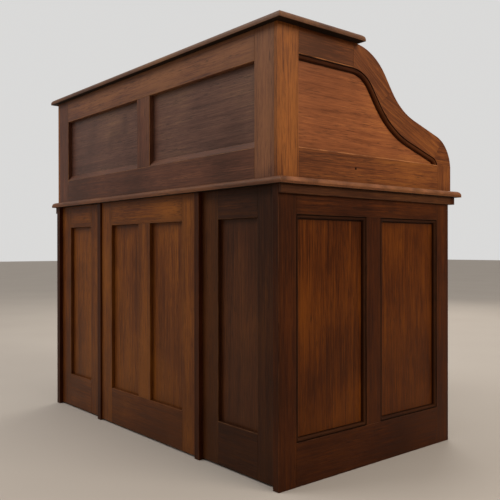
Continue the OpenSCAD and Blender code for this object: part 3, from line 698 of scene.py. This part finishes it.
def dovetail_tree():
    """Pins on a line: Count of them, tapering to the front, Pitch apart, joined into one mesh."""
    tree, inputs = new_tree("dovetails", Count="Int", Pitch="Float", Depth="Float", Width="Float",
                            Thickness="Float", Wood="Material")
    step = join_nodes(tree, "ShaderNodeCombineXYZ", {2: inputs["Pitch"]})
    line = join_nodes(tree, "GeometryNodeMeshLine", {"Count": inputs["Count"],
                                                     "Offset": step.outputs[0]}, mode="OFFSET")
    size = join_nodes(tree, "ShaderNodeCombineXYZ", {0: inputs["Thickness"], 1: inputs["Depth"],
                                                     2: inputs["Width"]})
    pin = join_nodes(tree, "GeometryNodeMeshCube", {"Size": size.outputs[0]})
    spot = tree.nodes.new("GeometryNodeInputPosition")
    parts = join_nodes(tree, "ShaderNodeSeparateXYZ", {0: spot.outputs[0]})
    share = join_nodes(tree, "ShaderNodeMath", {0: parts.outputs[1], 1: inputs["Depth"]},
                       operation="DIVIDE")
    taper = join_nodes(tree, "ShaderNodeMath", {0: share.outputs[0], 1: 0.55, 2: 0.78},
                       operation="MULTIPLY_ADD")
    narrow = join_nodes(tree, "ShaderNodeMath", {0: parts.outputs[2], 1: taper.outputs[0]},
                        operation="MULTIPLY")
    moved = join_nodes(tree, "ShaderNodeCombineXYZ", {0: parts.outputs[0], 1: parts.outputs[1],
                                                      2: narrow.outputs[0]})
    tapered = join_nodes(tree, "GeometryNodeSetPosition", {"Geometry": pin.outputs[0],
                                                           "Position": moved.outputs[0]})
    placed = join_nodes(tree, "GeometryNodeInstanceOnPoints", {"Points": line.outputs[0],
                                                               "Instance": tapered.outputs[0]})
    real = join_nodes(tree, "GeometryNodeRealizeInstances", {"Geometry": placed.outputs[0]})
    grained = stored(tree, real.outputs[0], "grain", spot.outputs[0])
    stained = join_nodes(tree, "GeometryNodeSetMaterial", {"Geometry": grained,
                                                           "Material": inputs["Wood"]})
    last = tree.nodes.new("NodeGroupOutput")
    tree.links.new(stained.outputs[0], last.inputs[0])
    return tree


def grown(tree, name, values, place):
    """The plain mesh object that a node tree makes with these input values, moved to place."""
    holder = put_in_scene(name, bpy.data.meshes.new(name))
    modifier = holder.modifiers.new("grow", "NODES")
    modifier.node_group = tree
    for socket in tree.interface.items_tree:
        if socket.in_out == "INPUT" and socket.name in values:
            modifier[socket.identifier] = values[socket.name]
    depsgraph = bpy.context.evaluated_depsgraph_get()
    mesh = bpy.data.meshes.new_from_object(holder.evaluated_get(depsgraph))
    holder.modifiers.clear()
    mesh.transform(place)
    holder.data = mesh
    mesh.name = name
    return holder


dovetails = dovetail_tree()


def dovetail(node, front_box):
    """Dovetails on both ends of a drawer front, let into its sides by their own thickness."""
    low, high = [b[0] for b in front_box], [b[1] for b in front_box]
    count = max(2, round((high[2] - low[2]) / pin_pitch))
    pitch = (high[2] - low[2]) / count
    for i, (x, mirror) in enumerate(((low[0], 1), (high[0], -1))):
        place = (Matrix.Translation((x, high[1] + pin_middle, low[2] + pitch / 2))
                 @ Matrix.Scale(mirror, 4, (1, 0, 0)))
        made = grown(dovetails, f"{node}_dovetails_{i + 1}", {
            "Count": count, "Pitch": pitch, "Depth": pin_depth, "Width": pitch * 0.5,
            "Thickness": pin_thickness, "Wood": dovetail_wood}, place)
        if mirror < 0:
            made.data.flip_normals()
        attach(made, body_of_node(node))


def build_drawer(node, knob_size, knob_length):
    """A drawer or slide: its front, its box and its knobs. Returns the limits of the front."""
    knobs = knob_boxes(node)
    front = min(box[1][0] for box in board_boxes(node) if not is_knob(box, knobs))

    def is_front(box):
        """Whether a board is the drawer's front."""
        return not is_knob(box, knobs) and box[1][0] < front + 0.001

    dress(node, front_wood, keep=is_front, name=node + "_front")
    dress(node, plain_wood, arris=0.001, name=node + "_box", stands_in=False,
          keep=lambda box: not is_knob(box, knobs) and not is_front(box))
    places = [((b[0][0] + b[0][1]) / 2, b[1][1], (b[2][0] + b[2][1]) / 2) for b in knobs]
    turned(node + "_knobs", places, knob_size, knob_length, (0, -1, 0), front_wood,
           body_of_node(node))
    shape = cut_boards(node, is_front)
    front_box = limits(v.co for v in shape.verts)
    shape.free()
    return front_box


for hand in ("left", "right"):
    for row in ("upper", "middle", "lower"):
        node = f"{hand}_{row}_drawer"
        dovetail(node, build_drawer(node, *drawer_knob))
    build_drawer(f"{hand}_writing_slide", *slide_knob)
dovetail("kneehole_drawer", build_drawer("kneehole_drawer", *drawer_knob))

# ---------------------------------------------------------------------------------------------
# The writing board, with its battens and front rail: thick boards, rounded over on top, whose
# edges have rubbed through to the bare wood, except along the wall.
edge_wood = stained_wood("writing_board_wood", (0.095, 0.0285, 0.0095), wear=0.6, dirt_and_shade=0.1,
                         worn_colour=(0.30, 0.112, 0.048))
# Painted shade: the downward faces of the writing board and the roof board are painted near black,
# for the shade under them
underside_shade_wood = stained_wood("underside_painted_shade", (0.0040, 0.0018, 0.0010), gloss=0.7, wear=0.0,
                          coat=0.0)
dress("desk_top", edge_wood, slopes=True, below=underside_shade_wood)
batten_wood = stained_wood("batten_wood", (0.066, 0.0180, 0.0055), contrast=1.3, coat=0.0,
                           shine=0.2)
dress("side_battens", batten_wood)
dress("front_rail", base_wood)

# ---------------------------------------------------------------------------------------------
# The gallery: two sides with a curved rail sawn from several boards, and a framed back with a
# sloping fillet on the bottom rail. It is a shade more golden than the pedestals.
gallery_wood = stained_wood("gallery_frame_wood", (0.135, 0.0345, 0.0080), contrast=1.35, dirt_and_shade=0.22,
                            worn_colour=(0.36, 0.135, 0.045), coat=0.0)
gallery_panel_wood = stained_wood("gallery_panel_wood", (0.232, 0.0665, 0.0200), contrast=0.7,
                                  blotches=0.5, gloss=0.38, dirt_and_shade=0.2)
back_wood = stained_wood("gallery_back_wood", (0.112, 0.0370, 0.0200), contrast=1.1, dirt_and_shade=0.3)
back_panel_wood = stained_wood("gallery_back_panel_wood", (0.100, 0.0430, 0.0300), contrast=0.8,
                               gloss=0.36, coat=0.08)
gallery_moulding_width = 0.013
gallery_rim, back_rim = 0.0024, 0.0012
gallery_moulding_wood = stained_wood("gallery_moulding_wood", (0.040, 0.0085, 0.0020), gloss=0.36,
                                     dirt_and_shade=0.0, wear=0.0, coat=0.0, shine=0.16)


def curved_run(node, side):
    """The level and curved edges of a gallery panel, in order from its upper rear corner."""
    shape = cut_boards(node)
    face = max(shape.faces, key=lambda f: f.normal.x * side * f.calc_area())
    outline = [v.co.copy() for v in face.verts]
    shape.free()
    start = max(range(len(outline)), key=lambda i: outline[i].y + outline[i].z)
    outline = outline[start:] + outline[:start]
    if abs(outline[1].y - outline[0].y) < 1e-4:
        outline = [outline[0]] + outline[:0:-1]
    lowest = min(p.z for p in outline)
    end = next(i for i, p in enumerate(outline) if p.z < lowest + 1e-4)
    return outline[:end + 1]


def golden_stile(box):
    """The rear stiles were cut from paler wood, the curved rails from darker."""
    if box[2][1] - box[2][0] > 0.3 and box[1][1] > 0.3:
        return 5.0
    return 0.3 if box[1][1] - box[1][0] > 0.4 and box[2][1] < 0.87 else -2.5


for hand, side in (("left", -1), ("right", 1)):
    dress(f"{hand}_gallery_frame", gallery_wood, tone_of=golden_stile, rim=gallery_rim)
    dress(f"{hand}_gallery_panel", gallery_panel_wood, way=(0, 1, 0))
    low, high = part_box(f"{hand}_gallery_frame")
    face = high[0] if side > 0 else low[0]
    run = curved_run(f"{hand}_gallery_panel", side)
    depth = abs(face - run[0].x) - joint_gap
    run = [Vector((face, p.y, p.z)) for p in run]
    inwards = Vector((side, 0, 0)).cross(run[1] - run[0]).z < 0
    stuck_moulding(f"{hand}_gallery_moulding", run if inwards else run[::-1], Vector((side, 0, 0)),
                   ovolo(gallery_moulding_width, depth), gallery_moulding_wood,
                   body_of_node(f"{hand}_gallery_panel"),
                   closed=False)


def back_board_tone(box):
    """The stile at the left corner and the top rail are paler than the rest of the back."""
    upright = box[2][1] - box[2][0] > 0.3
    return 3.2 if (upright and box[0][0] < -0.5) or (not upright and box[2][0] > 1.0) else -1.0


dress("gallery_back_frame", back_wood, rim=back_rim, tone_of=back_board_tone)
dress("gallery_back_panels", back_panel_wood)


def dark_filler():
    """Wax and lamp black, rubbed into a hole."""
    made, tree, shader, place = new_material("dark_filler")
    specks = join_nodes(tree, "ShaderNodeTexNoise", {"Vector": place, "Scale": 900.0}).outputs[0]
    tree.links.new(blend(tree, specks, (0.004, 0.0015, 0.001), (0.016, 0.005, 0.003)),
                   shader.inputs["Base Color"])
    shader.inputs["Roughness"].default_value = 0.95
    shader.inputs["Specular IOR Level"].default_value = 0.05
    return made


# One old screw hole in the left side's bottom rail has been stopped with dark filler.
hole_radius, hole_y, hole_z = 0.0036, 0.080, 0.8105
shape = bmesh.new()
bmesh.ops.create_uvsphere(shape, u_segments=28, v_segments=14, radius=hole_radius)
stopping = bpy.data.meshes.new("stopped_hole")
shape.to_mesh(stopping)
shape.free()
stopping.transform(
    Matrix.Translation((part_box("left_gallery_frame")[0][0] + 0.0001, hole_y, hole_z))
    @ Matrix.Diagonal((0.12, 1, 1, 1)))
stopping.materials.append(dark_filler())
stopping.shade_smooth()
stopped_hole = put_in_scene("stopped_hole", stopping)
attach(stopped_hole, body_of_node("left_gallery_frame"))

# ---------------------------------------------------------------------------------------------
# The roof board over the gallery: one wide board of the same hardwood, rounded over on top and
# screwed down on the sides and the back.
roof_wood = stained_wood("roof_board_wood", (0.085, 0.0290, 0.0120), wear=0.35, dirt_and_shade=0.1)
# Its downward faces get the near-black painted shade as well
dress("roof_board", roof_wood, slopes=True, below=underside_shade_wood)

# ---------------------------------------------------------------------------------------------
# The pigeonhole case: thin varnished boards housed into each other, slid in whole against the
# gallery's back. Its two small drawers have one turned knob each.
small_knob = (0.020, 0.016)
case_wood = stained_wood("case_wood", (0.150, 0.060, 0.0220), gloss=0.36)
dress("pigeonhole_case", case_wood, arris=0.0008)
for hand in ("left", "right"):
    build_drawer(f"{hand}_small_drawer", *small_knob)

# ---------------------------------------------------------------------------------------------
# The tambour: narrow slats with a rounded face, glued side by side on canvas, behind a heavier
# lift rail with two turned pulls and a lock.
roll_wood = stained_wood("roll_wood", (0.135, 0.0375, 0.0095), contrast=1.2, gloss=0.36, shine=0.24,
                         wear=0.4)


def slat_tree():
    """One slat: Length by Width by Thickness, its face domed down to the Shoulder at both edges."""
    tree, inputs = new_tree("tambour_slat", Length="Float", Width="Float", Thickness="Float",
                            Shoulder="Float", Seed="Int", Wood="Material")
    sums = sums_in(tree)
    size = join_nodes(tree, "ShaderNodeCombineXYZ", {0: inputs["Length"], 1: inputs["Thickness"],
                                                     2: inputs["Width"]})
    blank = join_nodes(tree, "GeometryNodeMeshCube", {"Size": size.outputs[0], "Vertices X": 3,
                                                      "Vertices Y": 2, "Vertices Z": 21})
    spot = tree.nodes.new("GeometryNodeInputPosition").outputs[0]
    parts = join_nodes(tree, "ShaderNodeSeparateXYZ", {0: spot}).outputs
    share = sums(sums(parts[2], inputs["Width"], "DIVIDE"), 2.0, "MULTIPLY")
    fall = sums(sums(share, 0.0, "ABSOLUTE"), 3.2, "POWER")
    dome = sums(sums(inputs["Thickness"], inputs["Shoulder"], "SUBTRACT"),
                sums(1.0, fall, "SUBTRACT"), "MULTIPLY")
    top = sums(inputs["Shoulder"], dome)
    on_face = sums(parts[1], 0.0, "GREATER_THAN")
    high = sums(top, on_face, "MULTIPLY")
    moved = join_nodes(tree, "ShaderNodeCombineXYZ", {0: parts[0], 1: high, 2: parts[2]})
    shaped = join_nodes(tree, "GeometryNodeSetPosition", {"Geometry": blank.outputs[0],
                                                          "Position": moved.outputs[0]})
    luck = join_nodes(tree, "FunctionNodeRandomValue", {"Min": (0, 0, 0), "Max": (9, 9, 9),
                                                        "ID": 0, "Seed": inputs["Seed"]},
                      data_type="FLOAT_VECTOR").outputs[0]
    here = join_nodes(tree, "ShaderNodeVectorMath", {0: spot, 1: luck}).outputs[0]
    grained = stored(tree, shaped.outputs[0], "grain", here)
    shade = join_nodes(tree, "FunctionNodeRandomValue", {2: -1.0, 3: 1.0, "ID": 1,
                                                         "Seed": inputs["Seed"]}, data_type="FLOAT")
    toned = stored(tree, grained, "tone", shade.outputs[1], "FLOAT")
    # Hands have rubbed the crown of each slat
    worn = stored(tree, toned, "wear", fade(tree, fall, 0.02, 0.0, 0.0, 0.35), "FLOAT")
    for edge in ("from_low", "from_high"):
        worn = stored(tree, worn, edge, clear_of_joints)
    smooth = join_nodes(tree, "GeometryNodeSetShadeSmooth", {"Geometry": worn})
    real = join_nodes(tree, "GeometryNodeRealizeInstances", {"Geometry": smooth.outputs[0]})
    stained = join_nodes(tree, "GeometryNodeSetMaterial", {"Geometry": real.outputs[0],
                                                           "Material": inputs["Wood"]})
    last = tree.nodes.new("NodeGroupOutput")
    tree.links.new(stained.outputs[0], last.inputs[0])
    return tree


def canvas_cloth():
    """Coarse linen canvas, grey with dust and old glue."""
    made, tree, shader, place = new_material("canvas")
    sums = sums_in(tree)
    threads = []
    for axis in ("X", "Z"):
        wave = join_nodes(tree, "ShaderNodeTexWave", {"Vector": place, "Scale": 210.0,
                                                      "Distortion": 0.4}, bands_direction=axis)
        threads.append(wave.outputs[1])
    weave = sums(threads[0], threads[1], "MULTIPLY")
    shade_and_grime = join_nodes(tree, "ShaderNodeTexNoise", {"Vector": place, "Scale": 6.0, "Detail": 4.0})
    tree.links.new(blend(tree, sums(weave, shade_and_grime.outputs[0], "MULTIPLY"), (0.16, 0.115, 0.068),
                         (0.46, 0.38, 0.26)), shader.inputs["Base Color"])
    shader.inputs["Roughness"].default_value = 0.9
    bump = join_nodes(tree, "ShaderNodeBump", {"Height": weave, "Strength": 0.5,
                                               "Distance": 0.0005})
    tree.links.new(bump.outputs[0], shader.inputs["Normal"])
    return made


canvas = canvas_cloth()
slats = slat_tree()
slat_nodes = sorted(n for n in frame["nodes"] if n.startswith("slat_"))
shoulder_share = 0.3
for number, node in enumerate(slat_nodes):
    shape = cut_boards(node)
    boards = sorted(islands(shape), key=lambda b: limits(v.co for v in b)[0][0])
    flat = max((f for f in shape.faces if f.verts[0] in boards[0]), key=lambda f: f.calc_area())
    inward = flat.normal.copy()
    middle = flat.calc_center_median()
    along = Vector((1, 0, 0)).cross(-inward)
    width = 2 * max(abs((v.co - middle).dot(along)) for v in flat.verts)
    thick = max((v.co - middle).dot(-inward) for v in boards[0])
    length = 2 * max(abs(v.co.x) for v in boards[0])
    shape.free()
    place = Matrix.Translation((0, middle.y, middle.z)) @ Matrix(
        ((1, 0, 0), -inward, along)).transposed().to_4x4()
    made = grown(slats, node + "_wood", {
        "Length": length, "Width": width, "Thickness": thick, "Shoulder": thick * shoulder_share,
        "Seed": number, "Wood": roll_wood}, place)
    made.data.set_sharp_from_angle(angle=radians(40))
    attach(made, body_of_node(node))
    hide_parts(node)
    dress(node, canvas, arris=0.0001, name=node + "_canvas", stands_in=False,
          keep=lambda box: box[0][1] - box[0][0] < length - 0.01)
dress("lift_rail", roll_wood, arris=0.0015)


def aged_brass():
    """Brass that has tarnished in spots."""
    made, tree, shader, place = new_material("aged_brass")
    tarnish = join_nodes(tree, "ShaderNodeTexNoise", {"Vector": place, "Scale": 160.0,
                                                      "Detail": 5.0}).outputs[0]
    tree.links.new(blend(tree, tarnish, (0.20, 0.115, 0.035), (0.66, 0.44, 0.17)),
                   shader.inputs["Base Color"])
    tree.links.new(fade(tree, tarnish, 0.0, 1.0, 0.22, 0.5), shader.inputs["Roughness"])
    shader.inputs["Metallic"].default_value = 1.0
    return made


brass = aged_brass()
for material_slot in frame["nodes"]["lift_rail_fittings"].material_slots:
    material_slot.material = brass
